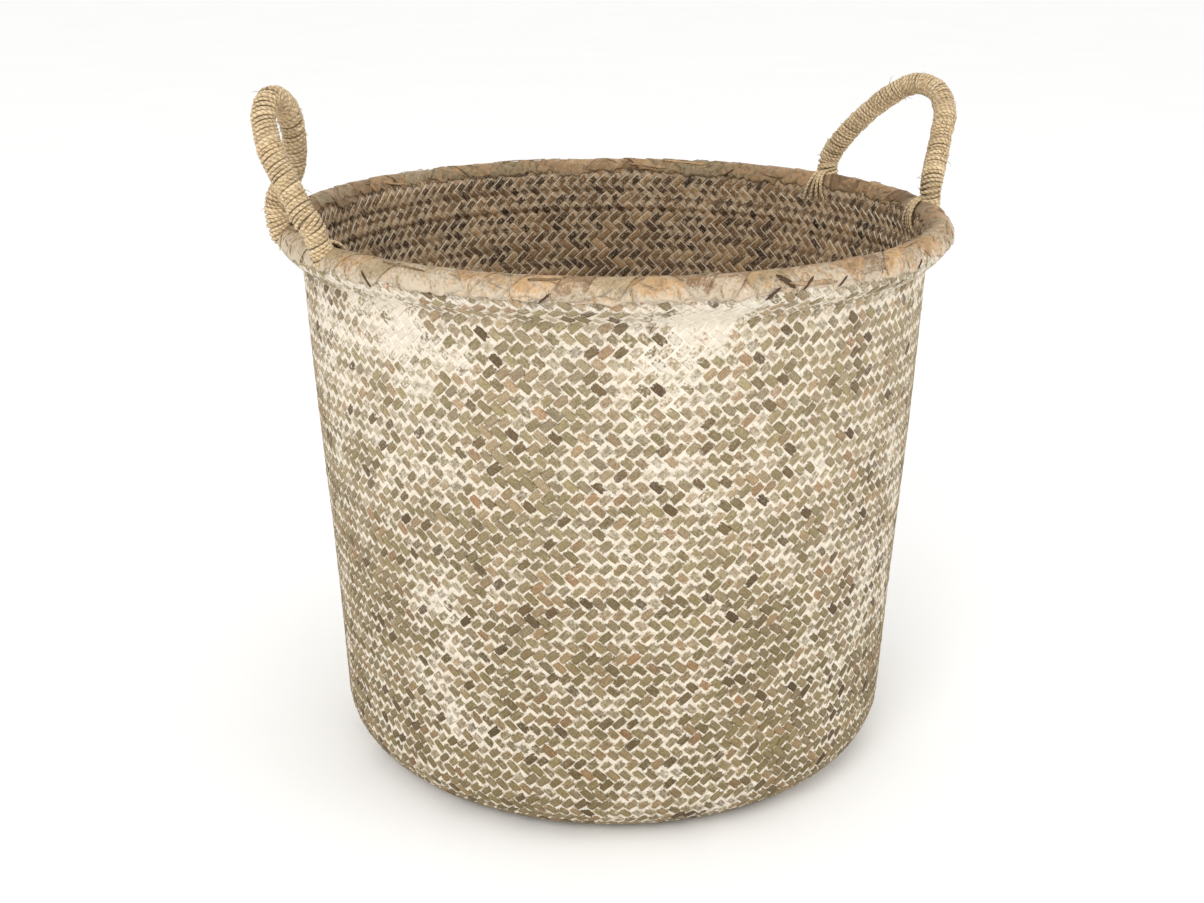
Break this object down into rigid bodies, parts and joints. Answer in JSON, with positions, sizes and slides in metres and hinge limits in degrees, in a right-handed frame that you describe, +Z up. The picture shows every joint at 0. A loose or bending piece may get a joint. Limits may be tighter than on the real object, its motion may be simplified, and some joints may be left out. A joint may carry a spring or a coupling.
{
  "type": "woven storage basket",
  "caption": "Tapered round basket of plaited seagrass with a rolled rim, an open top and two twine-wrapped rope handles that fold at the rim.",
  "frame": {"origin": "centre of the base on the floor", "axes": "+Z up along the basket's axis; +X through the right handle, so the handles face +X and -X; the front is -Y"},
  "size_m": [0.4496, 0.4094, 0.42],
  "materials": {
    "weave": "matte whitewashed plaited seagrass",
    "leaf_band": "matte dried leaf",
    "grass_bundle": "matte dried grass",
    "stitching": "matte twine",
    "rope_core": "matte twisted fibre",
    "twine": "matte slightly hairy seagrass twine"
  },
  "bodies": {
    "root": {"woven_base": "weave", "woven_wall": "weave", "folded_hem": "weave", "rim_core": "grass_bundle", "rim_band": "leaf_band", "rim_stitches": "stitching", "right_back_foot": "twine", "right_front_foot": "twine", "left_back_foot": "twine", "left_front_foot": "twine", "right_back_lashing": "twine", "right_front_lashing": "twine", "left_back_lashing": "twine", "left_front_lashing": "twine"},
    "handle_right": {"right_rope_core": "rope_core", "right_twine_wrap": "twine"},
    "handle_left": {"left_rope_core": "rope_core", "left_twine_wrap": "twine"}
  },
  "joints": [
    {"name": "right_handle_fold", "type": "hinge", "parent": "root", "child": "handle_right", "pos_m": [0.188, 0, 0.3475], "axis": [0, 1, 0], "range_deg": [-105, 45]},
    {"name": "left_handle_fold", "type": "hinge", "parent": "root", "child": "handle_left", "pos_m": [-0.19873, -0.01042, 0.3475], "axis": [0.0523, -0.9986, 0], "range_deg": [-75, 40]}
  ]
}
